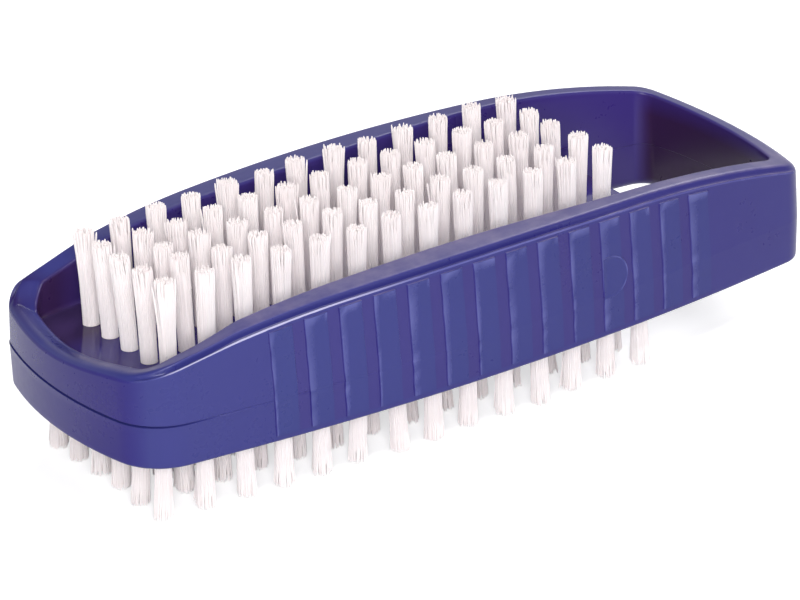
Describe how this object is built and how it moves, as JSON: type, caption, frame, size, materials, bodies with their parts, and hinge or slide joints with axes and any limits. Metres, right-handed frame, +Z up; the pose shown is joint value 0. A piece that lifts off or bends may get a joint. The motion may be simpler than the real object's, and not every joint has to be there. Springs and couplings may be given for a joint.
{
  "type": "double-sided nail brush",
  "caption": "Double-sided nail brush: bowed ring frame with ribbed sides, a bristle plate with tufts on both faces and an open finger slot at one end.",
  "frame": {"origin": "on the ground under the middle of the frame, at the tips of the lower tufts", "axes": "+X along the brush from the plate end to the finger slot, +Y to the side away from the moulding mark, +Z up through the longer upper tufts"},
  "size_m": [0.0954, 0.0378, 0.0274],
  "materials": {
    "blue_plastic": "moulded, soft gloss",
    "white_bristle": "drawn filament, cut ends",
    "anchor_steel": "plain flat wire"
  },
  "bodies": {
    "root": {"brush_body": "blue_plastic", "upper_tuft_row_1": "white_bristle", "upper_tuft_row_2": "white_bristle", "upper_tuft_row_3": "white_bristle", "upper_tuft_row_4": "white_bristle", "upper_tuft_row_5": "white_bristle", "lower_tuft_row_1": "white_bristle", "lower_tuft_row_2": "white_bristle", "lower_tuft_row_3": "white_bristle", "lower_tuft_row_4": "white_bristle", "lower_tuft_row_5": "white_bristle", "lower_tuft_row_6": "white_bristle", "upper_anchor_row_1": "anchor_steel", "upper_anchor_row_2": "anchor_steel", "upper_anchor_row_3": "anchor_steel", "upper_anchor_row_4": "anchor_steel", "upper_anchor_row_5": "anchor_steel", "lower_anchor_row_1": "anchor_steel", "lower_anchor_row_2": "anchor_steel", "lower_anchor_row_3": "anchor_steel", "lower_anchor_row_4": "anchor_steel", "lower_anchor_row_5": "anchor_steel", "lower_anchor_row_6": "anchor_steel"}
  },
  "joints": []
}
